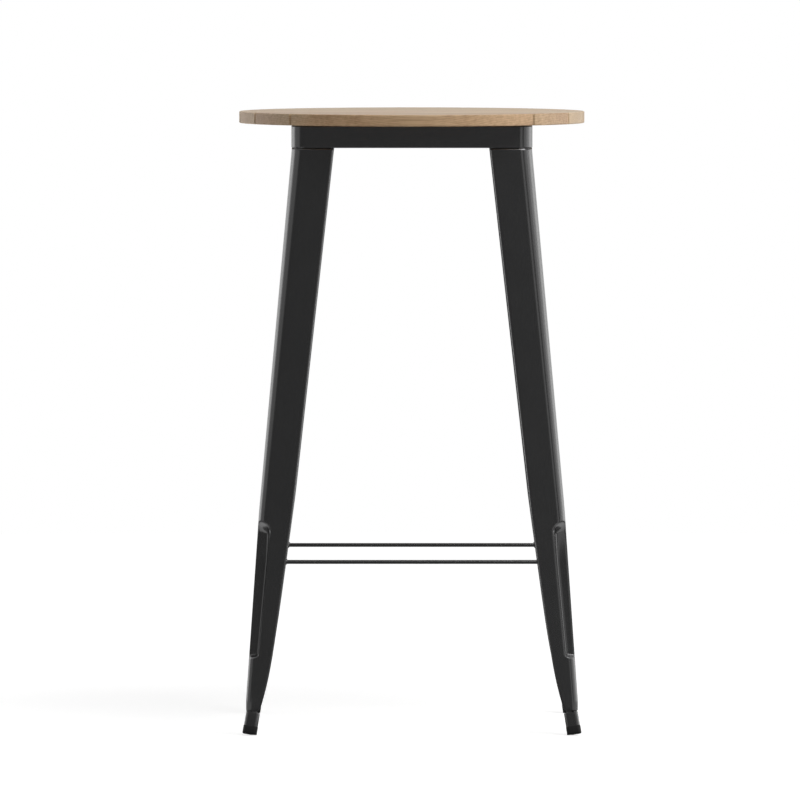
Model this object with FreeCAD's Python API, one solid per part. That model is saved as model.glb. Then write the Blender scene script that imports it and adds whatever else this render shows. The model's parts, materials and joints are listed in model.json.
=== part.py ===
import FreeCAD, Part
import math
import os

Vec = FreeCAD.Vector

# Bar table with a round slatted top on a square splayed frame of pressed sheet steel.
# Millimetres, +Z up. The origin is on the floor under the middle of the top.
# The slats run along X. Front is -Y and left is -X.

# Whole table
table_height = 1067.0
cut_overrun = 5.0
thread_clearance = 0.1

# Tabletop of slats
top_diameter = 600.0
slat_count = 7
slat_thickness = 20.0
slat_gap = 4.0
slat_edge_radius = 2.0

# Flat steel battens let into the underside of the slats
batten_width = 30.0
batten_thickness = 3.0
batten_place = 120.0
batten_end_margin = 10.0
batten_clearance = 0.5

# Wood screws that hold the slats
screw_diameter = 4.0
screw_length = 14.0
screw_head_diameter = 8.0
screw_head_height = 2.4
screw_sink_height = 2.0
screw_point_length = 4.0
screw_hole_clearance = 0.4
screw_row_shares = (0.25, 0.75)

# Apron: a square ring of folded sheet
apron_side = 415.6
apron_height = 39.0
apron_wall = 1.5
apron_corner_radius = 22.5
apron_top_flange = 20.0
apron_top_bend = 2.5
apron_top_opening_corner = 12.0
apron_lip = 10.0
apron_roll_radius = 4.0

# Corner plates welded into the apron
corner_plate_thickness = 3.0
corner_plate_reach = 72.0
corner_plate_edge = 20.0

# Legs: pressed sheet angles with a rounded outer corner and returned edges
leg_wall = 1.5
leg_inset = 1.0
leg_top_gap = 0.5
leg_top_width = 72.0
leg_top_corner_radius = 21.5
leg_lip = 15.0
leg_lip_bend = 3.0
knee_height = 385.0
knee_reach = 263.0
knee_width = 58.5
knee_corner_radius = 14.5
ankle_height = 61.0
ankle_reach = 285.3
ankle_width = 29.2
ankle_corner_radius = 10.5
neck_height = 52.0
neck_width = 26.8
neck_corner_radius = 10.0
leg_end_height = 44.0
leg_end_width = 23.3
leg_end_corner_radius = 9.5
ankle_steps = 7
ankle_flare_share = 0.25
ankle_flare_power = 7.5

# Tongue of each leg inside its foot sleeve
tongue_width = 18.0
tongue_lip = 8.0
tongue_end_height = 25.0

# Groove pressed into the outer corner of each leg; its heights are those of the ends of its floor
pocket_top_height = 354.0
pocket_bottom_height = 141.0
pocket_top_depth = 26.0
pocket_bottom_depth = 19.5
pocket_tool_height = 23.0
pocket_floor_width = 4.0
pocket_end_flat = 1.0
pocket_wall_run_share = 0.96
pocket_end_run_share = 0.5

# Leg top plates and their bolts
leg_plate_thickness = 3.0
leg_plate_edge = 18.0
leg_plate_clearance = 0.3
bolt_diameter = 8.0
bolt_hole_clearance = 0.5
bolt_head_flats = 13.0
bolt_head_height = 5.3
bolt_end_stand = 2.0
bolt_near = 22.0
bolt_far = 50.0
washer_diameter = 16.0
washer_thickness = 1.6
nut_flats = 13.0
nut_height = 6.5

# Rungs: a square of round rods
rod_diameter = 7.0
rod_height = 297.5
rod_inset = 10.0
rod_end_stand = 4.0
rod_hole_clearance = 0.3

# Foot sleeves and rubber caps
foot_reach = 279.7
foot_lean_angle = 9.5
sleeve_width = 24.0
sleeve_wall = 1.2
sleeve_corner_radius = 6.0
sleeve_clearance = 0.4
sleeve_top_height = 40.0
cap_width = 25.0
cap_corner_radius = 6.5
cap_height = 13.5
cap_stem_height = 5.0
cap_clearance = 0.1
cap_edge_radius = 1.5
cap_flat_depth = 1.2

# Sizes worked out from the ones above
top_radius = top_diameter / 2
slat_pitch = top_diameter / slat_count
top_underside = table_height - slat_thickness
apron_half = apron_side / 2
apron_bottom = top_underside - apron_height
leg_top_height = apron_bottom - leg_top_gap
leg_top_reach = apron_half - leg_inset
foot_lean = math.radians(foot_lean_angle)
foot_tilt = math.atan(math.sqrt(2) * math.tan(foot_lean))
corner_turns = {"back_right": 0, "back_left": 90, "front_left": 180, "front_right": 270}


def leg_line(height):
    """Reach of the outer faces, width of the flanges and corner radius at a height of the straight leg."""
    if height >= knee_height:
        share = (leg_top_height - height) / (leg_top_height - knee_height)
        reach = leg_top_reach + (knee_reach - leg_top_reach) * share
        width = leg_top_width + (knee_width - leg_top_width) * share
        radius = leg_top_corner_radius + (knee_corner_radius - leg_top_corner_radius) * share
        return reach, width, radius
    share = (knee_height - height) / (knee_height - ankle_height)
    flare = (1 - ankle_flare_share) * share + ankle_flare_share * share ** ankle_flare_power
    reach = knee_reach + (ankle_reach - knee_reach) * share
    width = knee_width + (ankle_width - knee_width) * flare
    radius = knee_corner_radius + (ankle_corner_radius - knee_corner_radius) * share
    return reach, width, radius


def foot_centre(height):
    """Distance of the foot's axis from the middle of the table, along X and along Y."""
    return foot_reach - height * math.tan(foot_lean)


def tongue_reach(height):
    """Reach of the tongue's outer faces, which fit the inside of the foot sleeve."""
    half = sleeve_width / 2 - sleeve_wall - sleeve_clearance
    return foot_centre(height) + half / math.cos(foot_lean)


def line(start, end):
    return Part.makeLine(start, end)


def arc(start, end, centre):
    """Quarter or smaller arc from start to end about a centre."""
    middle = (start + end) * 0.5 - centre
    middle.normalize()
    radius = (start - centre).Length
    return Part.Arc(start, centre + middle * radius, end).toShape()


def rounded_outline(place, half_x, half_y, radius):
    """Closed wire of a rounded rectangle; place turns two flat coordinates into a point."""
    flat_x = half_x - radius
    flat_y = half_y - radius
    return Part.Wire([
        line(place(half_x, -flat_y), place(half_x, flat_y)),
        arc(place(half_x, flat_y), place(flat_x, half_y), place(flat_x, flat_y)),
        line(place(flat_x, half_y), place(-flat_x, half_y)),
        arc(place(-flat_x, half_y), place(-half_x, flat_y), place(-flat_x, flat_y)),
        line(place(-half_x, flat_y), place(-half_x, -flat_y)),
        arc(place(-half_x, -flat_y), place(-flat_x, -half_y), place(-flat_x, -flat_y)),
        line(place(-flat_x, -half_y), place(flat_x, -half_y)),
        arc(place(flat_x, -half_y), place(half_x, -flat_y), place(flat_x, -flat_y)),
    ])


def rounded_block(half, radius, bottom, top):
    """Upright prism of a rounded square about the Z axis."""
    outline = rounded_outline(lambda x, y: Vec(x, y, bottom), half, half, radius)
    return Part.Face(outline).extrude(Vec(0, 0, top - bottom))


def edges_at(shape, height):
    """Edges of a shape that lie flat at one height."""
    found = []
    for edge in shape.Edges:
        box = edge.BoundBox
        if abs(box.ZMin - height) + abs(box.ZMax - height) < shape.BoundBox.DiagonalLength * 1e-6:
            found.append(edge)
    return found


def hexagon_prism(flats, bottom, top, x, y):
    """Upright six-sided prism, measured across its flats."""
    radius = flats / math.sqrt(3)
    points = [Vec(x + radius * math.cos(math.radians(60 * k)),
                  y + radius * math.sin(math.radians(60 * k)), bottom) for k in range(7)]
    return Part.Face(Part.makePolygon(points)).extrude(Vec(0, 0, top - bottom))


def rod_between(radius, start, end):
    return Part.makeCylinder(radius, (end - start).Length, start, end - start)


def turned(shape, degrees):
    """Copy of a shape turned about the table's upright axis."""
    copy = shape.copy()
    copy.rotate(Vec(0, 0, 0), Vec(0, 0, 1), degrees)
    return copy


def batten_half_length():
    edge = batten_place + batten_width / 2
    return math.sqrt(top_radius ** 2 - edge ** 2) - batten_end_margin


def slat_span(index):
    """Low and high Y of a slat before the round rim trims it."""
    centre = (index - (slat_count - 1) / 2) * slat_pitch
    low = centre - slat_pitch / 2 + (slat_gap / 2 if index > 0 else 0)
    high = centre + slat_pitch / 2 - (slat_gap / 2 if index < slat_count - 1 else 0)
    return low, high


def screw_rows(index):
    """Y places of the screws of a slat, clear of the apron's flange and the batten's ends."""
    low, high = slat_span(index)
    low = max(low, -batten_half_length())
    high = min(high, batten_half_length())
    middle = (low + high) / 2
    side = 1 if middle > 0 else -1
    near, far = sorted((abs(low), abs(high)))
    if abs(middle) < slat_pitch / 2:
        return [low + share * (high - low) for share in screw_row_shares]
    inner_end = min(far, apron_half - apron_top_flange)
    outer_start = max(near, apron_half)
    if inner_end - near >= far - outer_start:
        far = inner_end
    else:
        near = outer_start
    return [side * (near + share * (far - near)) for share in screw_row_shares]


def slat_screw_places():
    places = []
    for index in range(slat_count):
        for row in screw_rows(index):
            places += [(side * batten_place, row) for side in (-1, 1)]
    return places


def frame_screw_places():
    """Screws through the apron's top flange, at the battens and along its sides."""
    flange_middle = apron_half - apron_top_flange / 2
    places = [(x * batten_place, y * flange_middle) for x in (-1, 1) for y in (-1, 1)]
    places += [(x * flange_middle, row * slat_pitch) for x in (-1, 1) for row in (-1, 0, 1)]
    return places


def screw_body(x, y, seat):
    """Shank and point of a wood screw that points up from its seat height."""
    radius = screw_diameter / 2
    shank_length = screw_length - screw_point_length
    shank = Part.makeCylinder(radius, shank_length, Vec(x, y, seat))
    return shank.fuse(Part.makeCone(radius, 0, screw_point_length, Vec(x, y, seat + shank_length)))


def pan_head_screw(x, y, seat):
    bottom = seat - screw_head_height
    head = Part.makeCylinder(screw_head_diameter / 2, screw_head_height, Vec(x, y, bottom))
    head = head.makeFillet(screw_head_height / 2, edges_at(head, bottom))
    return head.fuse(screw_body(x, y, seat)).removeSplitter()


def flat_head_screw(x, y, seat):
    """Countersunk screw with the face of its head at the seat height."""
    head = Part.makeCone(screw_head_diameter / 2, screw_diameter / 2, screw_sink_height, Vec(x, y, seat))
    return head.fuse(screw_body(x, y, seat)).removeSplitter()


def slat_screws():
    return Part.makeCompound([flat_head_screw(x, y, top_underside) for x, y in slat_screw_places()])


def frame_screws():
    seat = top_underside - apron_wall
    return Part.makeCompound([pan_head_screw(x, y, seat) for x, y in frame_screw_places()])


def screw_holes(radius, bottom, top, places):
    return [Part.makeCylinder(radius, top - bottom, Vec(x, y, bottom)) for x, y in places]


def slat(index):
    """One slat: a strip of the round top with eased edges and grooves for the battens."""
    low, high = slat_span(index)
    disc = Part.makeCylinder(top_radius, slat_thickness, Vec(0, 0, top_underside))
    strip = Part.makeBox(top_diameter, high - low, slat_thickness, Vec(-top_radius, low, top_underside))
    board = disc.common(strip)
    rims = edges_at(board, top_underside) + edges_at(board, table_height)
    board = board.makeFillet(slat_edge_radius, rims)
    groove_width = batten_width + 2 * batten_clearance
    groove_half = batten_half_length() + batten_clearance
    cuts = []
    for side in (-1, 1):
        corner = Vec(side * batten_place - groove_width / 2, -groove_half, top_underside - cut_overrun)
        cuts.append(Part.makeBox(groove_width, 2 * groove_half, batten_thickness + cut_overrun, corner))
    hole_radius = screw_diameter / 2 + thread_clearance
    hole_top = top_underside + screw_length + thread_clearance
    holes = screw_holes(hole_radius, top_underside, hole_top, slat_screw_places() + frame_screw_places())
    board_box = board.BoundBox
    cuts += [hole for hole in holes if board_box.YMin < hole.BoundBox.Center.y < board_box.YMax]
    return board.cut(cuts)


def on_batten(places, side):
    return [(x, y) for x, y in places if abs(x - side * batten_place) < batten_width / 2]


def batten(side):
    """Flat bar with a hole for each screw, countersunk for those of the slats."""
    half = batten_half_length()
    bar = Part.makeBox(batten_width, 2 * half, batten_thickness,
                       Vec(side * batten_place - batten_width / 2, -half, top_underside))
    hole_radius = (screw_diameter + screw_hole_clearance) / 2
    sink_radius = (screw_head_diameter + screw_hole_clearance) / 2
    bottom = top_underside - cut_overrun
    top = top_underside + batten_thickness + cut_overrun
    cuts = screw_holes(hole_radius, bottom, top, on_batten(slat_screw_places() + frame_screw_places(), side))
    cuts += [Part.makeCone(sink_radius, hole_radius, screw_sink_height, Vec(x, y, top_underside))
             for x, y in on_batten(slat_screw_places(), side)]
    return bar.cut(cuts)


def apron():
    """Square ring with a flange under the slats and a rolled lower edge with a short lip."""
    block = rounded_block(apron_half, apron_corner_radius, apron_bottom, top_underside)
    block = block.makeFillet(apron_roll_radius, edges_at(block, apron_bottom))
    block = block.makeFillet(apron_top_bend, edges_at(block, top_underside))
    floor = apron_bottom + apron_wall
    ceiling = top_underside - apron_wall
    hollow = rounded_block(apron_half - apron_wall, apron_corner_radius - apron_wall, floor, ceiling)
    hollow = hollow.makeFillet(apron_roll_radius - apron_wall, edges_at(hollow, floor))
    hollow = hollow.makeFillet(apron_top_bend - apron_wall, edges_at(hollow, ceiling))
    middle = (apron_bottom + top_underside) / 2
    upper = rounded_block(apron_half - apron_top_flange, apron_top_opening_corner,
                          middle, top_underside + cut_overrun)
    lower = rounded_block(apron_half - apron_lip, apron_corner_radius - apron_lip,
                          apron_bottom - cut_overrun, middle)
    hole_radius = (screw_diameter + screw_hole_clearance) / 2
    holes = screw_holes(hole_radius, ceiling - cut_overrun, top_underside + cut_overrun, frame_screw_places())
    return block.cut([hollow, upper, lower] + holes)


def corner_plate_outline(face, inset, reach, edge, radius, bottom):
    """Outline of a plate in the corner between two outer faces, cut off along the diagonal."""
    def at(p, q):
        return Vec(face - p, face - q, bottom)
    arc_edge = arc(at(inset + radius, inset), at(inset, inset + radius), at(inset + radius, inset + radius))
    return Part.Wire([
        line(at(reach, inset), at(inset + radius, inset)),
        arc_edge,
        line(at(inset, inset + radius), at(inset, reach)),
        line(at(inset, reach), at(inset + edge, reach)),
        line(at(inset + edge, reach), at(reach, inset + edge)),
        line(at(reach, inset + edge), at(reach, inset)),
    ])


def bolt_places():
    """Places of one leg's three bolts, from the middle of the table."""
    pairs = ((bolt_near, bolt_near), (bolt_far, bolt_near), (bolt_near, bolt_far))
    return [(leg_top_reach - p, leg_top_reach - q) for p, q in pairs]


def bolt_holes(bottom, top):
    radius = (bolt_diameter + bolt_hole_clearance) / 2
    return screw_holes(radius, bottom - cut_overrun, top + cut_overrun, bolt_places())


def corner_plate():
    outline = corner_plate_outline(apron_half, apron_lip, corner_plate_reach, corner_plate_edge,
                                   apron_corner_radius - apron_lip, apron_bottom)
    plate = Part.Face(outline).extrude(Vec(0, 0, corner_plate_thickness))
    return plate.cut(bolt_holes(apron_bottom, apron_bottom + corner_plate_thickness))


def leg_top_plate():
    inset = leg_wall + leg_plate_clearance
    bottom = apron_bottom - leg_plate_thickness
    outline = corner_plate_outline(leg_top_reach, inset, leg_top_width - leg_lip_bend, leg_plate_edge,
                                   leg_top_corner_radius - inset, bottom)
    plate = Part.Face(outline).extrude(Vec(0, 0, leg_plate_thickness))
    return plate.cut(bolt_holes(bottom, apron_bottom))


def bolt(x, y):
    """Hex bolt from below: head under the washer, end above the weld nut."""
    seat = apron_bottom - leg_plate_thickness - washer_thickness
    end = apron_bottom + corner_plate_thickness + nut_height + bolt_end_stand
    head = hexagon_prism(bolt_head_flats, seat - bolt_head_height, seat, x, y)
    shank = Part.makeCylinder(bolt_diameter / 2, end - seat, Vec(x, y, seat))
    return head.fuse(shank)


def bolt_washer(x, y):
    bottom = apron_bottom - leg_plate_thickness - washer_thickness
    disc = Part.makeCylinder(washer_diameter / 2, washer_thickness, Vec(x, y, bottom))
    hole_radius = (bolt_diameter + bolt_hole_clearance) / 2
    return disc.cut(Part.makeCylinder(hole_radius, washer_thickness, Vec(x, y, bottom)))


def weld_nut(x, y):
    bottom = apron_bottom + corner_plate_thickness
    body = hexagon_prism(nut_flats, bottom, bottom + nut_height, x, y)
    bore_radius = bolt_diameter / 2 + thread_clearance
    return body.cut(Part.makeCylinder(bore_radius, nut_height, Vec(x, y, bottom)))


def at_each_corner(make):
    """Group of the solids that stand at the bolt places of all four corners."""
    solids = [make(x, y) for x, y in bolt_places()]
    return Part.makeCompound([turned(solid, turn) for turn in corner_turns.values() for solid in solids])


def leg_profile(height, reach, width, corner, lip):
    """Closed outline of the sheet angle at one height, in the back right corner."""
    wall = leg_wall
    bend = leg_lip_bend

    def at(p, q):
        return Vec(reach - p, reach - q, height)

    corner_centre = at(corner, corner)
    first_bend = at(width - bend, bend)
    second_bend = at(bend, width - bend)
    return Part.Wire([
        line(at(width, lip), at(width, bend)),
        arc(at(width, bend), at(width - bend, 0), first_bend),
        line(at(width - bend, 0), at(corner, 0)),
        arc(at(corner, 0), at(0, corner), corner_centre),
        line(at(0, corner), at(0, width - bend)),
        arc(at(0, width - bend), at(bend, width), second_bend),
        line(at(bend, width), at(lip, width)),
        line(at(lip, width), at(lip, width - wall)),
        line(at(lip, width - wall), at(bend, width - wall)),
        arc(at(bend, width - wall), at(wall, width - bend), second_bend),
        line(at(wall, width - bend), at(wall, corner)),
        arc(at(wall, corner), at(corner, wall), corner_centre),
        line(at(corner, wall), at(width - bend, wall)),
        arc(at(width - bend, wall), at(width - wall, bend), first_bend),
        line(at(width - wall, bend), at(width - wall, lip)),
        line(at(width - wall, lip), at(width, lip)),
    ])


def leg_fill_outline(height):
    """Outline of the space that the leg's outer faces close off, to trim the pocket's pan."""
    reach, width, corner = leg_line(height)

    def at(p, q):
        return Vec(reach - p, reach - q, height)

    return Part.Wire([
        line(at(width, 0), at(corner, 0)),
        arc(at(corner, 0), at(0, corner), at(corner, corner)),
        line(at(0, corner), at(0, width)),
        line(at(0, width), at(width, width)),
        line(at(width, width), at(width, 0)),
    ])


def ankle_heights():
    """Heights between the knee and the ankle, closer together towards the ankle."""
    drop = knee_height - ankle_height
    return [ankle_height + drop * (1 - step / ankle_steps) ** 2 for step in range(ankle_steps + 1)]


def leg_shell():
    levels = [(leg_top_height,) + leg_line(leg_top_height)]
    levels += [(height,) + leg_line(height) for height in ankle_heights()]
    levels.append((neck_height, ankle_reach, neck_width, neck_corner_radius))
    end_reach = tongue_reach(leg_end_height)
    levels.append((leg_end_height, end_reach, leg_end_width, leg_end_corner_radius))
    shell = Part.makeLoft([leg_profile(*level, leg_lip) for level in levels], True, True)
    tongue_levels = [(height, tongue_reach(height), tongue_width, leg_end_corner_radius)
                     for height in (leg_end_height, tongue_end_height)]
    tongue = Part.makeLoft([leg_profile(*level, tongue_lip) for level in tongue_levels], True, True)
    return shell.fuse(tongue)


def pocket_tool(skin):
    """Solid of the groove in the corner, grown by a skin: two walls that meet in a narrow, sloping floor."""
    knee = Vec(knee_reach, knee_reach, knee_height)
    ankle = Vec(ankle_reach, ankle_reach, ankle_height)
    lateral = (ankle - knee).cross(Vec(1, 1, 0))
    lateral.normalize()
    inward = (ankle - knee).cross(lateral)
    inward.normalize()

    def floor_end(height, depth):
        reach = leg_line(height)[0]
        return Vec(reach, reach, height) + inward * depth

    top = floor_end(pocket_top_height, pocket_top_depth)
    bottom = floor_end(pocket_bottom_height, pocket_bottom_depth)
    along = bottom - top
    along.normalize()
    outward = lateral.cross(along)

    def outline(rise):
        half_length = (bottom - top).Length / 2 + rise * pocket_end_run_share
        half_length += skin * math.hypot(1, pocket_end_run_share)
        half_width = pocket_floor_width / 2 + rise * pocket_wall_run_share
        half_width += skin * math.hypot(1, pocket_wall_run_share)
        base = (top + bottom) * 0.5 + outward * rise
        return rounded_outline(lambda w, t: base + along * w + lateral * t, half_length, half_width,
                               half_width - pocket_end_flat / 2)

    return Part.makeLoft([outline(pocket_tool_height), outline(-skin)], True, True)


def rod_line(height):
    """Distance of a rung's axis from the middle of the table, and half its length."""
    reach, width, _ = leg_line(height)
    return reach - rod_inset, reach - width + leg_wall + rod_end_stand


def leg():
    """Leg in the back right corner with its pocket, its tongue and the rung holes."""
    tool = pocket_tool(0)
    pan = pocket_tool(leg_wall).cut(tool)
    fill = Part.makeLoft([leg_fill_outline(height) for height in ankle_heights()], True, True)
    body = leg_shell().cut(tool).fuse(pan.common(fill))
    place, half = rod_line(rod_height)
    hole_radius = rod_diameter / 2 + rod_hole_clearance
    ends = ((Vec(0, place, rod_height), Vec(half + cut_overrun, place, rod_height)),
            (Vec(place, 0, rod_height), Vec(place, half + cut_overrun, rod_height)))
    return body.cut([rod_between(hole_radius, start, end) for start, end in ends])


def rung(along_x, side):
    place, half = rod_line(rod_height)
    if along_x:
        ends = Vec(-half, side * place, rod_height), Vec(half, side * place, rod_height)
    else:
        ends = Vec(side * place, -half, rod_height), Vec(side * place, half, rod_height)
    return rod_between(rod_diameter / 2, *ends)


def lean(shape):
    """Tilt a foot piece that was made upright at the origin, and set it in the back right corner."""
    shape.rotate(Vec(0, 0, 0), Vec(1, -1, 0), math.degrees(foot_tilt))
    return shape.translated(Vec(foot_reach, foot_reach, 0))


def cap_bottom():
    """Place of the cap's base along the foot's axis, where its inner corner meets the floor."""
    corner = cap_width / 2 * math.sqrt(2) - cap_corner_radius * (math.sqrt(2) - 1)
    return (corner * math.sin(foot_tilt) - cap_flat_depth) / math.cos(foot_tilt)


def foot_sleeve():
    bottom = cap_bottom() + cap_height
    top = sleeve_top_height / math.cos(foot_tilt)
    outer = rounded_block(sleeve_width / 2, sleeve_corner_radius, bottom, top)
    inner = rounded_block(sleeve_width / 2 - sleeve_wall, sleeve_corner_radius - sleeve_wall,
                          bottom - cut_overrun, top + cut_overrun)
    return lean(outer.cut(inner))


def foot_cap():
    """Rubber cap: a head below the sleeve, with a small flat where it meets the floor, and a stem inside it."""
    bottom = cap_bottom()
    top = bottom + cap_height
    head = rounded_block(cap_width / 2, cap_corner_radius, bottom, top)
    head = head.makeFillet(cap_edge_radius, edges_at(head, bottom))
    inset = sleeve_wall + cap_clearance
    stem = rounded_block(sleeve_width / 2 - inset, sleeve_corner_radius - inset, top, top + cap_stem_height)
    cap = lean(head.fuse(stem))
    under = Part.makeBox(2 * cap_width, 2 * cap_width, cap_width,
                         Vec(foot_reach - cap_width, foot_reach - cap_width, -cap_width))
    return cap.cut(under)


def all_nodes():
    nodes = {}
    for index in range(slat_count):
        nodes["slat_%d" % (index + 1)] = slat(index)
    for name, side in (("left", -1), ("right", 1)):
        nodes["batten_" + name] = batten(side)
        nodes["rung_" + name] = rung(False, side)
    for name, side in (("front", -1), ("back", 1)):
        nodes["rung_" + name] = rung(True, side)
    nodes["apron"] = apron()
    nodes["slat_screws"] = slat_screws()
    nodes["frame_screws"] = frame_screws()
    nodes["leg_bolts"] = at_each_corner(bolt)
    nodes["leg_bolt_washers"] = at_each_corner(bolt_washer)
    nodes["weld_nuts"] = at_each_corner(weld_nut)
    corner_makers = {"leg": leg, "leg_top_plate": leg_top_plate, "corner_plate": corner_plate,
                     "foot_sleeve": foot_sleeve, "foot_cap": foot_cap}
    for piece, make in corner_makers.items():
        shape = make()
        for corner, turn in corner_turns.items():
            nodes["%s_%s" % (piece, corner)] = turned(shape, turn)
    return nodes


def main():
    os.makedirs("parts", exist_ok=True)
    for name, shape in all_nodes().items():
        if not shape.isValid():
            print("not valid:", name)
        shape.exportStep("parts/%s.step" % name)
        box = shape.BoundBox
        print("%s: %d solid(s), %.1f cm3, z %.1f to %.1f"
              % (name, len(shape.Solids), shape.Volume / 1000, box.ZMin, box.ZMax))


main()
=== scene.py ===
import bpy
import bmesh
import json
import math
from mathutils import Matrix, Vector


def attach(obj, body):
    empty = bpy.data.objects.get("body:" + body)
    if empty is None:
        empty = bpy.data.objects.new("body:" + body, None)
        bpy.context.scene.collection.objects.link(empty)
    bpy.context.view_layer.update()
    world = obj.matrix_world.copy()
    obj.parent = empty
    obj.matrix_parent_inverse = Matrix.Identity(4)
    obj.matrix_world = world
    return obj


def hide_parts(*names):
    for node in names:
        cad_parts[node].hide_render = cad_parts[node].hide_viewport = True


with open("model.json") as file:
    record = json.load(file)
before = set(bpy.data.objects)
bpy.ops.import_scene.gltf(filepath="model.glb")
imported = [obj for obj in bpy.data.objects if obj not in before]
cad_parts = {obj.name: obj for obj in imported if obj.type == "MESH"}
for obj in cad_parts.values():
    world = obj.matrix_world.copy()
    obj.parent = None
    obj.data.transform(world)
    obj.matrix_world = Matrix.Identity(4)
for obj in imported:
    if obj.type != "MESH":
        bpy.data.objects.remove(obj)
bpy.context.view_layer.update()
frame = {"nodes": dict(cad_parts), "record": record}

# Metres, +Z up. The origin is on the floor under the middle of the top; front is -Y and left is -X.

# Whole table
table_height = 1.067
top_diameter = 0.600
slat_count = 7
slat_thickness = 0.020

# Apron: a square ring folded from sheet
top_underside = table_height - slat_thickness
apron_side = 0.4156
apron_bottom = 1.008
apron_wall = 0.0015
apron_corner_radius = 0.0225
apron_top_flange = 0.020
apron_top_bend = 0.0025
apron_top_opening_corner = 0.012
apron_lip = 0.010
apron_roll_radius = 0.0019
ring_support = 0.0006

# Legs: pressed sheet angles with a rounded outer corner and returned edges
leg_wall = 0.0015
leg_top_height = 1.0075
leg_top_reach = 0.2068
leg_top_width = 0.072
leg_top_corner_radius = 0.0215
leg_lip = 0.015
leg_lip_bend = 0.003
leg_easing = 0.012
neck_easing = 0.0008
knee_height = 0.385
knee_reach = 0.263
knee_width = 0.0585
knee_corner_radius = 0.0145
ankle_height = 0.061
ankle_reach = 0.2853
ankle_width = 0.0292
ankle_corner_radius = 0.0105
ankle_flare_share = 0.25
ankle_flare_power = 7.5
neck_height = 0.052
neck_width = 0.0268
neck_corner_radius = 0.010
leg_end_height = 0.042
leg_end_width = 0.0233
leg_end_corner_radius = 0.0095
leg_end_slant = 0.12
leg_end_slant_run = 0.012

# Tongue of each leg inside its foot sleeve
tongue_top_height = 0.041
tongue_width = 0.018
tongue_lip = 0.008
tongue_end_height = 0.025

# Groove pressed into the outer corner of each leg, with its rim on the flat faces and a rounded floor
groove_top_height = 0.3485
groove_bottom_height = 0.1412
groove_top_width = 0.0198
groove_bottom_width = 0.0148
groove_slope = 1.0
groove_top_slope = 0.8
groove_top_run = 0.045
groove_top_end_share = 1.35
groove_bottom_end_share = 2.2
groove_corner_power = 3
groove_floor_round = 0.002
groove_rim_round = 0.0024
groove_end_round = 0.003

# Steps across the sheet of a leg, from the middle of its corner to the end of a returned edge
corner_steps = 20
flat_steps = 16
bend_steps = 5
lip_steps = 2
half_steps = corner_steps + flat_steps + bend_steps + lip_steps

# Bands of rings down the sheet of a leg: the height where each band ends, and its number of rings
leg_bands = [
    (0.996, 3),
    (knee_height + leg_easing, 14),
    (0.376, 5),
    (0.318, 40),
    (0.168, 30),
    (0.128, 32),
    (0.067, 14),
    (0.038, 40),
    (tongue_end_height, 3),
]

# Rungs and the weld beads round them, where they pass the returned edges of the legs
rod_diameter = 0.0070
rod_height = 0.2975
rod_inset = 0.010
rod_end_stand = 0.004
rod_end_ease = 0.0006
rod_segments = 32
bead_width = 0.0019
bead_ripple = 0.0003
bead_ripple_count = 5
bead_root = 0.0004
bead_steps = 4

# Fasteners: hex bolts from below with washers and weld nuts, and cross-recess wood screws
leg_plate_thickness = 0.003
corner_plate_thickness = 0.003
hexagon_flats = 0.013
hexagon_face_share = 0.95
hexagon_chamfer = math.radians(30)
bolt_diameter = 0.008
bolt_head_height = 0.0053
bolt_end_stand = 0.002
bolt_end_chamfer = 0.0008
thread_pitch = 0.00125
thread_depth = 0.0006
threads_shown = 3
bolt_segments = 36
washer_diameter = 0.016
washer_bore = 0.0085
washer_thickness = 0.0016
washer_edge_round = 0.0003
nut_height = 0.0065
nut_bore = 0.0082
screw_diameter = 0.004
screw_length = 0.014
screw_point_length = 0.004
screw_point_diameter = 0.0005
screw_head_diameter = 0.008
screw_head_height = 0.0024
screw_sink_height = 0.002
screw_edge_round = 0.00015
screw_head_steps = 4
screw_segments = 24
recess_arm = 0.0021
recess_half_width = 0.0005
recess_depth = 0.0014
recess_floor_share = 0.6
fastener_turn = 0.9
merge_distance = 0.000001

# Foot sleeves and rubber caps
foot_reach = 0.2797
foot_lean = math.radians(9.5)
sleeve_width = 0.024
sleeve_wall = 0.0012
sleeve_corner_radius = 0.006
sleeve_clearance = 0.0004
sleeve_top_height = 0.0385
cap_width = 0.025
cap_corner_radius = 0.0065
cap_height = 0.0135
cap_stem_height = 0.005
cap_clearance = 0.0001
cap_rim_radius = 0.0004
cap_edge_radius = 0.0015
cap_flat_depth = 0.0012

# Steps of a rounded square's side and corner, and of a rounded edge
side_marks = 3
arc_steps = 6
edge_steps = 4
rim_steps = 3
sleeve_rim_steps = 8

# Edges sharper than these angles stay crisp
sharp_edge = math.radians(40)
sharp_fastener_edge = math.radians(30)

# What is modelled at the back right corner, or along the back, is copied round by these turns
corner_turns = {
    "back_right": 0,
    "back_left": math.radians(90),
    "front_left": math.radians(180),
    "front_right": math.radians(270),
}
rung_turns = {
    "back": 0,
    "left": math.radians(90),
    "front": math.radians(180),
    "right": math.radians(270),
}

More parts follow.
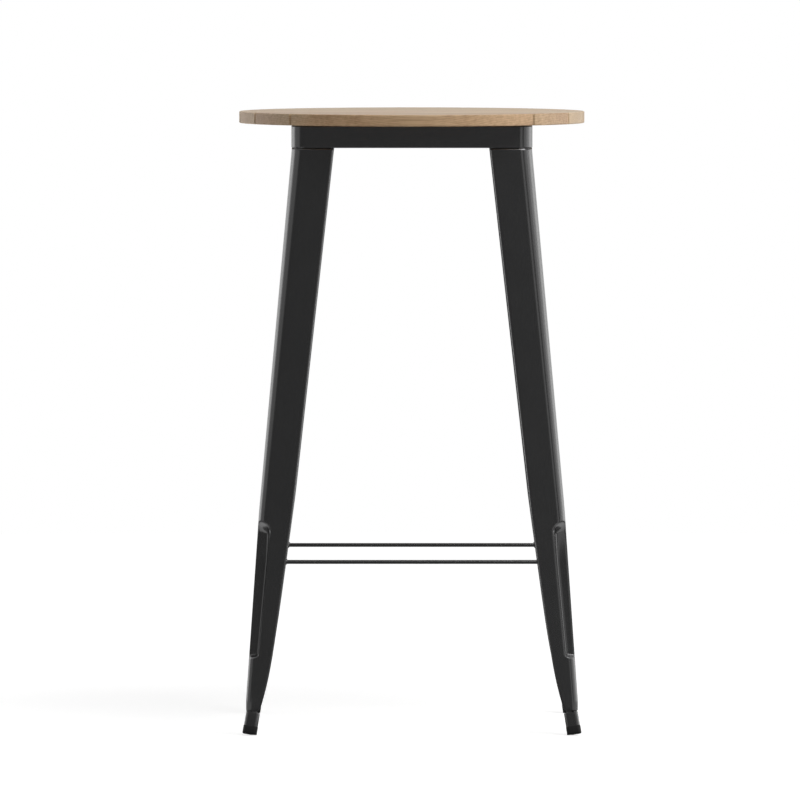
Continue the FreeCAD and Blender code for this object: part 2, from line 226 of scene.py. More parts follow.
# Wood: its growth rings, the scales and contrasts of its marks, its colours and how far they show
ring_spacing = 0.0036
ring_sway = 0.035
ring_ripple = 0.004
pith_depth = 0.16
pith_spread = 0.10
board_seed = 11.3
board_shift = (9.0, 3.0, 3.0)
sway_scale = (1.6, 6.0, 6.0)
ripple_scale = (7.0, 40.0, 40.0)
fibre_scale = (9.0, 700.0, 700.0)
streak_scale = (3.2, 230.0, 230.0)
pore_scale = (55.0, 1500.0, 1500.0)
vein_scale = (1.2, 30.0, 30.0)
heart_scale = (2.4, 5.0, 5.0)
ring_contrast = 0.16
streak_contrast = 0.9
fibre_contrast = 0.6
vein_contrast = 0.7
board_contrast = 0.3
wood_depth = 0.34
wood_pale = (0.80, 0.610, 0.392)
wood_middle = (0.64, 0.470, 0.288)
wood_dark = (0.40, 0.252, 0.140)
wood_heart = (0.93, 0.80, 0.74)
wood_pore = (0.17, 0.095, 0.05)
wood_end = (0.36, 0.25, 0.165)
heart_share = 0.8
pore_share = 0.3
end_grain_share = 0.35
wood_roughness = 0.46

# The other finishes, each clouded between two tones
coat_dark = (0.0075, 0.0075, 0.0080)
coat_light = (0.0115, 0.0115, 0.0120)
coat_roughness = 0.21
rubber_dark = (0.010, 0.010, 0.0105)
rubber_dusty = (0.020, 0.0195, 0.019)
rubber_roughness = 0.62
zinc_bright = (0.62, 0.63, 0.62)
zinc_dull = (0.48, 0.48, 0.45)
zinc_roughness = 0.30
floor_grey = (0.72, 0.72, 0.72)
white = (1, 1, 1)

# Camera and studio
camera_distance = 22.1
camera_height = 1.56
camera_side = -0.0205
camera_pitch = 2.579
camera_lens = 572.4
camera_sensor = 36
camera_far = 120
floor_radius = 6.0
floor_segments = 96

# Lamps: turn from the camera's side to the right, rise, distance, width, height, light on a card facing it
lamp_aim_height = 0.55
lamps = {
    "key": (36, 52, 3.0, 1.8, 1.8, 0.48),
    "edge_left": (-131, 8, 2.6, 0.7, 2.2, 0.055),
    "side_left": (-104, 8, 2.6, 1.3, 2.2, 0.20),
    "low_left": (-66, 8, 2.6, 2.3, 2.2, 0.09),
    "edge_right": (131, 8, 2.6, 0.7, 2.2, 0.055),
    "side_right": (103, 8, 2.6, 1.3, 2.2, 0.25),
    "middle_right": (78, 8, 2.6, 1.2, 2.2, 0.14),
    "low_right": (54, 8, 2.6, 1.2, 2.2, 0.075),
    "strip_right": (20, 8, 3.0, 0.8, 2.2, 0.032),
}

# Brightness of the floor and the room, to the camera and in reflections
floor_near = 0.72
floor_far = 0.98
floor_reflected_front = 0.16
floor_reflected_back = 1.02
floor_side_dimming = 0.85
room_light = 0.05
room_reflected_front = 0.17
room_reflected_back = 1.0
room_reflected_ceiling = 0.4


def set_camera():
    data = bpy.data.cameras.new("camera")
    data.lens = camera_lens
    data.sensor_width = camera_sensor
    data.clip_end = camera_far
    camera = bpy.data.objects.new("camera", data)
    camera.location = (camera_side, -camera_distance, camera_height)
    camera.rotation_euler = (math.radians(90 - camera_pitch), 0, 0)
    bpy.context.scene.collection.objects.link(camera)
    bpy.context.scene.camera = camera


def tone(colour):
    return (*colour, 1)


def between(low, high, share):
    return low + (high - low) * share


class Value:
    """An output socket of a finish; sums written with it become Math nodes."""

    def __init__(self, finish, socket):
        self.finish = finish
        self.socket = socket

    def output(self, name):
        """Another output of the same node."""
        return Value(self.finish, self.socket.node.outputs[name])

    def math(self, operation, *terms):
        return self.finish.node("ShaderNodeMath", {"operation": operation}, dict(enumerate(terms)))

    def __add__(self, other):
        return self.math("ADD", self, other)

    def __radd__(self, other):
        return self.math("ADD", other, self)

    def __sub__(self, other):
        return self.math("SUBTRACT", self, other)

    def __rsub__(self, other):
        return self.math("SUBTRACT", other, self)

    def __mul__(self, other):
        return self.math("MULTIPLY", self, other)

    def __rmul__(self, other):
        return self.math("MULTIPLY", other, self)

    def __truediv__(self, other):
        return self.math("DIVIDE", self, other)

    def __pow__(self, other):
        return self.math("POWER", self, other)

    def floor(self):
        return self.math("FLOOR", self)

    def fraction(self):
        return self.math("FRACT", self)

    def absolute(self):
        return self.math("ABSOLUTE", self)

    def or_larger(self, other):
        return self.math("MAXIMUM", self, other)

    def length_with(self, other):
        """Distance from zero of the point that this value and another one give."""
        return (self * self + other * other) ** 0.5

    def rise(self, low, high):
        """0 below low, 1 above high, and a soft step between them."""
        return self.finish.node("ShaderNodeMapRange", {"interpolation_type": "SMOOTHSTEP"},
                                {"Value": self, "From Min": low, "From Max": high})


class Finish:
    """A node tree in the making: a material's, or the world's."""

    def __init__(self, owner):
        self.owner = owner
        owner.use_nodes = True
        self.tree = owner.node_tree
        self.tree.nodes.clear()

    def node(self, kind, settings=None, inputs=None):
        """Adds a node with its settings, then its sockets' values or links; gives its first live output."""
        node = self.tree.nodes.new(kind)
        for name, value in (settings or {}).items():
            if name == "stops":
                for index, (position, colour) in enumerate(value):
                    stops = node.color_ramp.elements
                    stop = stops[index] if index < 2 else stops.new(position)
                    stop.position = position
                    stop.color = tone(colour)
            else:
                setattr(node, name, value)
        for name, value in (inputs or {}).items():
            if isinstance(value, Value):
                self.tree.links.new(value.socket, node.inputs[name])
            else:
                node.inputs[name].default_value = value
        live = [socket for socket in node.outputs if socket.enabled]
        return Value(self, live[0]) if live else None

    def noise(self, place, scale, detail=2.0, roughness=0.5):
        return self.node("ShaderNodeTexNoise", None, {
            "Vector": place, "Scale": scale, "Detail": detail, "Roughness": roughness})

    def mapped(self, place, location=(0, 0, 0), scale=(1, 1, 1)):
        return self.node("ShaderNodeMapping", None, {"Vector": place, "Location": location, "Scale": scale})

    def blended(self, share, first, second, mode="MIX"):
        """Two colours mixed by a share."""
        return self.node("ShaderNodeMix", {"data_type": "RGBA", "blend_type": mode},
                         {0: share, 6: first, 7: second})

    def bump(self, height, strength, distance):
        return self.node("ShaderNodeBump", None, {
            "Height": height, "Strength": strength, "Distance": distance})

    def surface(self, **inputs):
        """Closes the material with one surface shader; underscores in the names stand for spaces."""
        named = {name.replace("_", " "): value for name, value in inputs.items()}
        shader = self.node("ShaderNodeBsdfPrincipled", None, named)
        self.node("ShaderNodeOutputMaterial", None, {"Surface": shader})
        return self.owner


def new_finish(name):
    return Finish(bpy.data.materials.new(name))


def slat_wood():
    """Pale oiled wood: growth rings round a pith below each slat, with fibres and pores along X."""
    wood = new_finish("slat_wood")
    place = wood.node("ShaderNodeTexCoord").output("Object")
    axes = wood.node("ShaderNodeSeparateXYZ", None, {"Vector": place})
    pitch = top_diameter / slat_count
    board = ((axes.output("Y") + top_diameter / 2) / pitch).floor()
    chance = wood.node("ShaderNodeTexWhiteNoise", {"noise_dimensions": "1D"}, {"W": board + board_seed})
    spread = wood.node("ShaderNodeSeparateColor", None, {"Color": chance.output("Color")})
    shifted = wood.node("ShaderNodeVectorMath", {"operation": "MULTIPLY_ADD"}, {
        0: chance.output("Color"), 1: board_shift, 2: place})

    across = axes.output("Y") - (board + 0.5) * pitch + top_diameter / 2 + (spread - 0.5) * pith_spread
    depth = axes.output("Z") - table_height + pith_depth + spread.output("Green") * pith_spread
    sway = wood.noise(wood.mapped(shifted, scale=sway_scale), 1.0, 2.0)
    ripple = wood.noise(wood.mapped(shifted, scale=ripple_scale), 1.0, 3.0)
    radius = across.length_with(depth) + (sway - 0.5) * ring_sway + (ripple - 0.5) * ring_ripple
    ring = (radius / ring_spacing).fraction()
    late = ring.rise(0.2, 0.8) * (1 - ring.rise(0.86, 1.0))

    fibre = wood.noise(wood.mapped(shifted, scale=fibre_scale), 1.0, 4.0, 0.65)
    streak = wood.noise(wood.mapped(shifted, scale=streak_scale), 1.0, 2.0)
    pores = wood.noise(wood.mapped(shifted, scale=pore_scale), 1.0, 1.0).rise(0.66, 0.74)
    vein = wood.noise(wood.mapped(shifted, scale=vein_scale), 1.0, 2.0)
    shade = late * ring_contrast + (streak - 0.5) * streak_contrast + (fibre - 0.5) * fibre_contrast
    shade = shade + (vein - 0.5) * vein_contrast + (spread.output("Blue") - 0.5) * board_contrast
    grain = wood.node("ShaderNodeValToRGB", {
        "stops": [(0.0, wood_pale), (0.45, wood_middle), (1.0, wood_dark)]}, {"Fac": shade + wood_depth})
    patch = wood.noise(wood.mapped(shifted, location=(3.1, 0, 0), scale=heart_scale), 1.0, 1.0)
    heart = patch.rise(0.42, 0.62)
    warm = wood.blended(heart * heart_share, grain, tone(wood_heart), "MULTIPLY")
    colour = wood.blended(pores * pore_share, warm, tone(wood_pore))
    normal = wood.node("ShaderNodeNewGeometry").output("Normal")
    facing = wood.node("ShaderNodeSeparateXYZ", None, {"Vector": normal})
    end_grain = facing.output("X").absolute().rise(0.55, 0.98)
    colour = wood.blended(end_grain * end_grain_share, colour, tone(wood_end))
    relief = fibre * 0.5 + late * 0.3 - pores * 0.6
    return wood.surface(
        Base_Color=colour,
        Roughness=wood_roughness + (fibre - 0.5) * 0.22 - late * 0.05,
        Specular_IOR_Level=0.25,
        Coat_Weight=0.05,
        Coat_Roughness=0.25,
        Normal=wood.bump(relief, 0.25, 0.0004))


def frame_coat():
    """Black powder coat: satin, faintly uneven in gloss, with the fine skin that baked powder has."""
    coat = new_finish("frame_coat")
    place = coat.node("ShaderNodeTexCoord").output("Object")
    cloud = coat.noise(place, 22.0, 3.0)
    skin = coat.noise(place, 900.0, 2.0)
    speck = coat.noise(place, 2600.0, 1.0)
    colour = coat.blended(cloud, tone(coat_dark), tone(coat_light))
    return coat.surface(
        Base_Color=colour,
        Roughness=coat_roughness + (cloud - 0.5) * 0.05 + (speck - 0.5) * 0.03,
        Specular_IOR_Level=1.0,
        IOR=1.6,
        Normal=coat.bump(skin + speck * 0.4, 0.05, 0.0001))


def foot_rubber():
    """Black moulded rubber, matt, with a fine grain and a little dust in it."""
    rubber = new_finish("foot_rubber")
    place = rubber.node("ShaderNodeTexCoord").output("Object")
    grain = rubber.noise(place, 1500.0, 3.0)
    dust = rubber.noise(place, 140.0, 4.0).rise(0.45, 0.75)
    colour = rubber.blended(dust * 0.6, tone(rubber_dark), tone(rubber_dusty))
    return rubber.surface(
        Base_Color=colour,
        Roughness=rubber_roughness + (grain - 0.5) * 0.2 + dust * 0.1,
        Specular_IOR_Level=0.3,
        Normal=rubber.bump(grain, 0.3, 0.0002))


def zinc_plate():
    """Bright zinc plate on steel, clouded, with fine marks of the plating drum."""
    zinc = new_finish("zinc_fastener")
    place = zinc.node("ShaderNodeTexCoord").output("Object")
    cloud = zinc.noise(place, 260.0, 3.0)
    marks = zinc.noise(place, 1900.0, 2.0)
    colour = zinc.blended(cloud, tone(zinc_bright), tone(zinc_dull))
    return zinc.surface(
        Base_Color=colour,
        Metallic=1.0,
        Roughness=zinc_roughness + (cloud - 0.5) * 0.2 + (marks - 0.5) * 0.12,
        Normal=zinc.bump(marks, 0.1, 0.0001))


def studio_white():
    """Pale floor, white to the camera where no shadow falls, and clear from below.

    Reflections see its glow alone, dim in front of the table and bright behind it and beside it.
    """
    card = new_finish("studio_floor")
    path = card.node("ShaderNodeLightPath")
    seen = path.output("Is Camera Ray").or_larger(path.output("Is Transmission Ray"))
    glossy = path.output("Is Glossy Ray")
    pale = card.node("ShaderNodeBsdfDiffuse", None, {"Color": tone(floor_grey)})
    place = card.node("ShaderNodeTexCoord").output("Object")
    axes = card.node("ShaderNodeSeparateXYZ", None, {"Vector": place})
    away = axes.output("X").length_with(axes.output("Y")).rise(0.5, 3.0)
    behind = axes.output("Y").rise(-0.2, 2.0)
    aside = axes.output("X").absolute()
    beside = aside.rise(0.3, 0.5) * (1 - aside.rise(0.6, 0.9) * floor_side_dimming)
    to_camera = between(floor_near, floor_far, away)
    reflected = between(floor_reflected_front, floor_reflected_back, behind.or_larger(beside))
    level = seen * to_camera + glossy * reflected
    glow = card.node("ShaderNodeEmission", None, {"Color": tone(white), "Strength": level})
    lit = card.node("ShaderNodeAddShader", None, {0: pale, 1: glow})
    mirrored = card.node("ShaderNodeMixShader", None, {"Fac": glossy, 1: lit, 2: glow})
    clear = card.node("ShaderNodeBsdfTransparent")
    below = card.node("ShaderNodeNewGeometry").output("Backfacing")
    surface = card.node("ShaderNodeMixShader", None, {"Fac": below, 1: mirrored, 2: clear})
    card.node("ShaderNodeOutputMaterial", None, {"Surface": surface})
    return card.owner


def set_world():
    """Faint room light: white to the camera, and in reflections dim in front, bright behind and above."""
    world = bpy.data.worlds.new("studio")
    bpy.context.scene.world = world
    room = Finish(world)
    path = room.node("ShaderNodeLightPath")
    seen = path.output("Is Camera Ray").or_larger(path.output("Is Transmission Ray"))
    glossy = path.output("Is Glossy Ray")
    direction = room.node("ShaderNodeTexCoord").output("Generated")
    axes = room.node("ShaderNodeSeparateXYZ", None, {"Vector": direction})
    backdrop = axes.output("Y").rise(-0.2, 0.7)
    ceiling = axes.output("Z").rise(0.4, 0.9)
    reflected = between(room_reflected_front, room_reflected_back, backdrop)
    reflected = reflected + ceiling * room_reflected_ceiling
    level = (1 - glossy) * room_light + glossy * reflected
    back = room.node("ShaderNodeBackground", None, {
        "Color": tone(white), "Strength": seen.or_larger(level)})
    room.node("ShaderNodeOutputWorld", None, {"Surface": back})


def soft_box(name, azimuth, elevation, distance, width, height, level):
    """Rectangular lamp aimed at the table, which the camera doesn't see."""
    data = bpy.data.lights.new(name, "AREA")
    data.shape = "RECTANGLE"
    data.size = width
    data.size_y = height
    data.energy = level * math.pi ** 2 * distance ** 2
    lamp = bpy.data.objects.new(name, data)
    turn = math.radians(azimuth)
    rise = math.radians(elevation)
    toward = Vector((math.sin(turn) * math.cos(rise), -math.cos(turn) * math.cos(rise), math.sin(rise)))
    lamp.location = Vector((0, 0, lamp_aim_height)) + toward * distance
    lamp.rotation_euler = toward.to_track_quat("Z", "Y").to_euler()
    lamp.visible_camera = False
    bpy.context.scene.collection.objects.link(lamp)


def set_studio():
    for name, placing in lamps.items():
        soft_box(name, *placing)
    scene = bpy.context.scene
    scene.view_settings.view_transform = "Standard"
    bm = bmesh.new()
    bmesh.ops.create_circle(bm, cap_ends=True, segments=floor_segments, radius=floor_radius)
    mesh = bpy.data.meshes.new("floor")
    bm.to_mesh(mesh)
    bm.free()
    floor = bpy.data.objects.new("floor", mesh)
    scene.collection.objects.link(floor)
    mesh.materials.append(studio_white())


def make_piece(name, bm, finish, stands_for, crisp=sharp_edge):
    """Turns a modelled mesh into a named piece of the table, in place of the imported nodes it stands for."""
    mesh = bpy.data.meshes.new(name)
    bm.to_mesh(mesh)
    bm.free()
    mesh.shade_smooth()
    mesh.set_sharp_from_angle(angle=crisp)
    mesh.materials.append(finish)
    piece = bpy.data.objects.new(name, mesh)
    bpy.context.scene.collection.objects.link(piece)
    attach(piece, "root")
    if stands_for:
        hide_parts(*stands_for)
    return piece


def turn_mesh(bm, angle, corners=None, axis="Z"):
    """Turns a mesh, or only some of its corners, about an axis through the origin."""
    matrix = Matrix.Rotation(angle, 3, axis)
    bmesh.ops.rotate(bm, cent=(0, 0, 0), matrix=matrix, verts=corners or bm.verts)


def added_copy(group, single):
    """Adds a copy of one small mesh to a group and gives the new corners."""
    mesh = bpy.data.meshes.new("copy")
    single.to_mesh(mesh)
    before = len(group.verts)
    group.from_mesh(mesh)
    bpy.data.meshes.remove(mesh)
    group.verts.ensure_lookup_table()
    return group.verts[before:]


def soft_max(first, second, spread):
    """The larger of two values, eased where they are closer than spread."""
    near = max(spread - abs(first - second), 0) / spread
    return max(first, second) + near * near * spread / 4


def foot_centre(height):
    return foot_reach - height * math.tan(foot_lean)


def tongue_reach(height):
    half = sleeve_width / 2 - sleeve_wall - sleeve_clearance
    return foot_centre(height) + half / math.cos(foot_lean)


def leg_line(height):
    """Reach of the outer faces, flange width, corner radius and lip of the leg above its ankle."""
    if height >= knee_height:
        share = (leg_top_height - height) / (leg_top_height - knee_height)
        return [between(leg_top_reach, knee_reach, share), between(leg_top_width, knee_width, share),
                between(leg_top_corner_radius, knee_corner_radius, share), leg_lip]
    share = (knee_height - height) / (knee_height - ankle_height)
    flare = between(share, share ** ankle_flare_power, ankle_flare_share)
    return [between(knee_reach, ankle_reach, share), between(knee_width, ankle_width, flare),
            between(knee_corner_radius, ankle_corner_radius, share), leg_lip]


def leg_section(height):
    """The same four sizes anywhere on the leg, down to the end of its tongue."""
    if height >= ankle_height:
        return leg_line(height)
    stations = [
        (ankle_height, leg_line(ankle_height)),
        (neck_height, [ankle_reach, neck_width, neck_corner_radius, leg_lip]),
        (leg_end_height, [ankle_reach, leg_end_width, leg_end_corner_radius, leg_lip]),
        (tongue_top_height, [tongue_reach(tongue_top_height), tongue_width, tongue_width / 2, tongue_lip]),
        (tongue_end_height, [tongue_reach(tongue_end_height), tongue_width, tongue_width / 2, tongue_lip]),
    ]
    for (top, upper), (bottom, lower) in zip(stations, stations[1:]):
        if height >= bottom:
            break
    share = (top - height) / (top - bottom)
    return [between(first, second, share) for first, second in zip(upper, lower)]


def eased_section(height):
    """A leg section with its bends along the leg rounded, as the press leaves them; the neck is crisper."""
    easing = between(neck_easing, leg_easing, min(max(height - neck_height, 0) / (2 * leg_easing), 1))
    heights = [height + easing * step / 2 for step in (-2, -1, 0, 1, 2)]
    sections = [leg_section(min(max(each, tongue_end_height), leg_top_height)) for each in heights]
    return [sum(sizes) / len(sizes) for sizes in zip(*sections)]


def flange_point(step, width, radius, lip):
    """Place along and behind one outer face, counted in steps from the middle of the leg's corner."""
    if step <= corner_steps:
        angle = math.radians(45) * (1 - step / corner_steps)
        return radius * (1 - math.sin(angle)), radius * (1 - math.cos(angle))
    step -= corner_steps
    if step <= flat_steps:
        return between(radius, width - leg_lip_bend, step / flat_steps), 0
    step -= flat_steps
    if step <= bend_steps:
        angle = math.radians(90) * step / bend_steps
        return width - leg_lip_bend * (1 - math.sin(angle)), leg_lip_bend * (1 - math.cos(angle))
    step -= bend_steps
    return width, between(leg_lip_bend, lip, step / lip_steps)


def leg_heights():
    """Heights of the rings of the leg, closer together where the groove ends and at the ankle."""
    heights = [leg_top_height]
    for bottom, rings in leg_bands:
        top = heights[-1]
        heights += [between(top, bottom, (ring + 1) / rings) for ring in range(rings)]
    return heights


def groove_axes():
    """Middle of the groove on the leg's corner line, and its directions along, into and across the leg."""
    knee = Vector((knee_reach, knee_reach, knee_height))
    ankle = Vector((ankle_reach, ankle_reach, ankle_height))
    along = (ankle - knee).normalized()
    inward = Vector((-1, -1, 0))
    inward = (inward - along * inward.dot(along)).normalized()
    middle_height = (groove_top_height + groove_bottom_height) / 2
    middle_reach = leg_line(middle_height)[0]
    return Vector((middle_reach, middle_reach, middle_height)), along, inward, along.cross(inward)


def press_groove(point, axes):
    """Moves a point of the leg's skin inward where the groove is pressed into the corner."""
    middle, along, inward, across = axes
    offset = point - middle
    down = offset.dot(along)
    side = offset.dot(across)
    depth = offset.dot(inward)
    half = (groove_top_height - groove_bottom_height) / 2
    from_top = min(max(down + half, 0), 2 * half)
    width = between(groove_top_width, groove_bottom_width, from_top / (2 * half))
    slope = between(groove_top_slope, groove_slope, min(from_top / groove_top_run, 1))
    past = max(abs(down) - half, 0)
    end_share = groove_bottom_end_share if down > 0 else groove_top_end_share
    away = [abs(side), past * end_share, groove_floor_round]
    power = groove_corner_power
    out = sum(each ** power for each in away) ** (1 / power) - groove_floor_round
    groove = (width * (1 + slope) / math.sqrt(2)) - out * slope
    rounding = between(groove_rim_round, groove_end_round, min(past / groove_end_round, 1))
    return point + inward * (soft_max(depth, groove, rounding) - depth)


def leg_sheet():
    """Skin of the back right leg: a flat sheet pressed over its sections and groove, its end cut aslant."""
    heights = leg_heights()
    sections = [eased_section(height) for height in heights]
    axes = groove_axes()
    rows = len(heights) - 1
    bm = bmesh.new()
    bmesh.ops.create_grid(bm, x_segments=2 * half_steps, y_segments=rows, size=1)
    for vert in bm.verts:
        row = round((1 - vert.co.y) / 2 * rows)
        step = round(vert.co.x * half_steps)
        reach, width, radius, lip = sections[row]
        along, behind = flange_point(abs(step), width, radius, lip)
        if step > 0:
            along, behind = behind, along
        from_end = abs(heights[row] - leg_end_height)
        slant = leg_end_slant * max(1 - from_end / leg_end_slant_run, 0)
        point = Vector((reach - along, reach - behind, heights[row] + slant * max(along, behind)))
        vert.co = press_groove(point, axes)
    bmesh.ops.recalc_face_normals(bm, faces=bm.faces)
    outer = max(bm.faces, key=lambda face: face.calc_center_median().x)
    if outer.normal.x < 0:
        bmesh.ops.reverse_faces(bm, faces=bm.faces)
    return bm


def make_legs(coat):
    sheet = leg_sheet()
    for corner, turn in corner_turns.items():
        bm = sheet.copy()
        turn_mesh(bm, turn)
        leg = make_piece("leg_sheet_" + corner, bm, coat, ["leg_" + corner])
        wall = leg.modifiers.new("wall", "SOLIDIFY")
        wall.thickness = leg_wall
        wall.offset = -1
        wall.use_even_offset = True
    sheet.free()


def eighth_point(step, half, corner):
    """Point of a rounded square's outline, counted in steps from the middle of a side to the corner."""
    flat = half - corner
    if step < side_marks:
        return half, max(flat - ring_support, flat / 2) * step / (side_marks - 1)
    turn = math.radians(45) * (step - side_marks) / arc_steps
    return flat + corner * math.cos(turn), flat + corner * math.sin(turn)


def rounded_square_place(half, corner, height):
    """Puts a direction round the middle on a rounded square at a height."""
    def place(angle):
        quarter = round(angle / math.radians(90))
        aside = angle - quarter * math.radians(90)
        step = round(abs(aside) / math.radians(45) * (side_marks + arc_steps))
        x, y = eighth_point(step, half, corner)
        point = Vector((x, math.copysign(y, aside), height))
        return Matrix.Rotation(quarter * math.radians(90), 3, "Z") @ point
    return place


def round_place(radius, height):
    def place(angle):
        return Vector((radius * math.cos(angle), radius * math.sin(angle), height))
    return place


def stacked_shell(places, segments):
    """Open shell stacked up ring by ring; each place turns a direction into a point of its ring."""
    bm = bmesh.new()
    direction = bm.verts.layers.float.new("direction")
    bmesh.ops.create_circle(bm, segments=segments, radius=1)
    for vert in bm.verts:
        vert[direction] = math.atan2(vert.co.y, vert.co.x)
        vert.co = places[0](vert[direction])
    ring = list(bm.edges)
    for place in places[1:]:
        grown = bmesh.ops.extrude_edge_only(bm, edges=ring)["geom"]
        for part in grown:
            if isinstance(part, bmesh.types.BMVert):
                part.co = place(part[direction])
        ring = [part for part in grown if isinstance(part, bmesh.types.BMEdge)]
    bm.verts.layers.float.remove(direction)
    return bm


def square_shell(rings):
    """Shell of rounded squares, each given as half width, corner radius and height."""
    return stacked_shell([rounded_square_place(*ring) for ring in rings], 8 * (side_marks + arc_steps))


def settled(bm):
    """Points the faces of a closed shell outward, and sorts it so that each run gives the same mesh."""
    bmesh.ops.recalc_face_normals(bm, faces=bm.faces)
    verts = sorted(bm.verts, key=lambda vert: tuple(vert.co))
    for number, vert in enumerate(verts):
        vert.index = number
    bm.verts.sort()
    faces = sorted(bm.faces, key=lambda face: sorted(vert.index for vert in face.verts))
    for number, face in enumerate(faces):
        face.index = number
    bm.faces.sort()
    return bm


def capped(bm):
    """Closes the open ends of a shell."""
    bmesh.ops.holes_fill(bm, edges=[edge for edge in bm.edges if edge.is_boundary], sides=0)
    return settled(bm)


def looped(bm):
    """Joins the last ring of a shell to its first one."""
    bmesh.ops.bridge_loops(bm, edges=[edge for edge in bm.edges if edge.is_boundary])
    return settled(bm)


def rounded_edge(half, corner, height, radius, start, end, steps=edge_steps):
    """Rings round an edge: its middle is inset by the radius, and the angle runs from start to end."""
    rings = []
    for step in range(steps + 1):
        angle = math.radians(between(start, end, step / steps))
        grow = radius * math.cos(angle)
        rings.append((half + grow, corner + grow, height + radius * math.sin(angle)))
    return rings


def make_apron(coat):
    """Apron folded from one strip: flange, bend, face, rolled edge and lip, then the same again inside."""
    half = apron_side / 2
    corner = apron_corner_radius
    bend = (half - apron_top_bend, corner - apron_top_bend, top_underside - apron_top_bend)
    roll = (half - apron_roll_radius, corner - apron_roll_radius, apron_bottom + apron_roll_radius)
    flange = (half - apron_top_flange, apron_top_opening_corner)
    lip = (half - apron_lip, corner - apron_lip)
    inside = (half - apron_wall, corner - apron_wall)
    rings = [(*flange, top_underside)]
    rings += rounded_edge(*bend, apron_top_bend, 90, 0)
    rings.append((half, corner, top_underside - apron_top_bend - ring_support))
    rings.append((half, corner, apron_bottom + apron_roll_radius + ring_support))
    rings += rounded_edge(*roll, apron_roll_radius, 0, -90)
    rings += [(*lip, apron_bottom), (*lip, apron_bottom + apron_wall)]
    rings += rounded_edge(*roll, apron_roll_radius - apron_wall, -90, 0)
    rings.append((*inside, apron_bottom + apron_roll_radius + ring_support))
    rings.append((*inside, top_underside - apron_top_bend - ring_support))
    rings += rounded_edge(*bend, apron_top_bend - apron_wall, 0, 90)
    rings.append((*flange, top_underside - apron_wall))
    make_piece("folded_apron", looped(square_shell(rings)), coat, ["apron"])


def make_rungs(coat):
    """Round rods with eased ends, two along X and two along Y."""
    reach, width, _, _ = leg_section(rod_height)
    half = reach - width + leg_wall + rod_end_stand
    radius = rod_diameter / 2
    ease = rod_end_ease
    places = [round_place(radius - ease, -half), round_place(radius, ease - half),
              round_place(radius, half - ease), round_place(radius - ease, half)]
    rod = capped(stacked_shell(places, rod_segments))
    turn_mesh(rod, math.radians(90), axis="Y")
    bmesh.ops.translate(rod, vec=(0, reach - rod_inset, rod_height), verts=rod.verts)
    for name, turn in rung_turns.items():
        bm = rod.copy()
        turn_mesh(bm, turn)
        make_piece("rod_" + name, bm, coat, ["rung_" + name])
    rod.free()


def foot_tilt():
    return math.atan(math.sqrt(2) * math.tan(foot_lean))


def cap_bottom():
    """Place of the cap's base along the foot's axis, where its inner corner meets the floor."""
    corner = cap_width / 2 * math.sqrt(2) - cap_corner_radius * (math.sqrt(2) - 1)
    return (corner * math.sin(foot_tilt()) - cap_flat_depth) / math.cos(foot_tilt())


def set_foot(bm, turn):
    """Leans an upright foot piece, sets it in the back right corner and turns it to its own corner."""
    turn_mesh(bm, foot_tilt(), axis=Vector((1, -1, 0)))
    bmesh.ops.translate(bm, vec=(foot_reach, foot_reach, 0), verts=bm.verts)
    turn_mesh(bm, turn)


def make_sleeve(corner, turn, coat):
    half = sleeve_width / 2
    inner = half - sleeve_wall
    bottom = cap_bottom() + cap_height
    top = sleeve_top_height / math.cos(foot_tilt())
    round_off = sleeve_wall / 2
    rim = (half - round_off, sleeve_corner_radius - round_off, top - round_off)
    rings = [(inner, sleeve_corner_radius - sleeve_wall, bottom), (half, sleeve_corner_radius, bottom)]
    rings += rounded_edge(*rim, round_off, 0, 180, sleeve_rim_steps)
    bm = looped(square_shell(rings))
    set_foot(bm, turn)
    make_piece("sleeve_" + corner, bm, coat, ["foot_sleeve_" + corner])


def make_cap(corner, turn, rubber):
    """Rubber cap: a head rounded all over and pressed flat on the floor, with a stem inside the sleeve."""
    half = cap_width / 2
    bottom = cap_bottom()
    top = bottom + cap_height
    base_half = half - cap_edge_radius
    base_corner = cap_corner_radius - cap_edge_radius
    rim_half = half - cap_rim_radius
    rim_corner = cap_corner_radius - cap_rim_radius
    stem_inset = sleeve_wall + cap_clearance
    stem = (sleeve_width / 2 - stem_inset, sleeve_corner_radius - stem_inset)
    rings = rounded_edge(base_half, base_corner, bottom + cap_edge_radius, cap_edge_radius, -90, 0)
    rings += rounded_edge(rim_half, rim_corner, top - cap_rim_radius, cap_rim_radius, 0, 90, rim_steps)
    rings += [(*stem, top), (*stem, top + cap_stem_height)]
    bm = capped(square_shell(rings))
    set_foot(bm, turn)
    for vert in bm.verts:
        vert.co.z = max(vert.co.z, 0)
    make_piece("cap_" + corner, bm, rubber, ["foot_cap_" + corner])


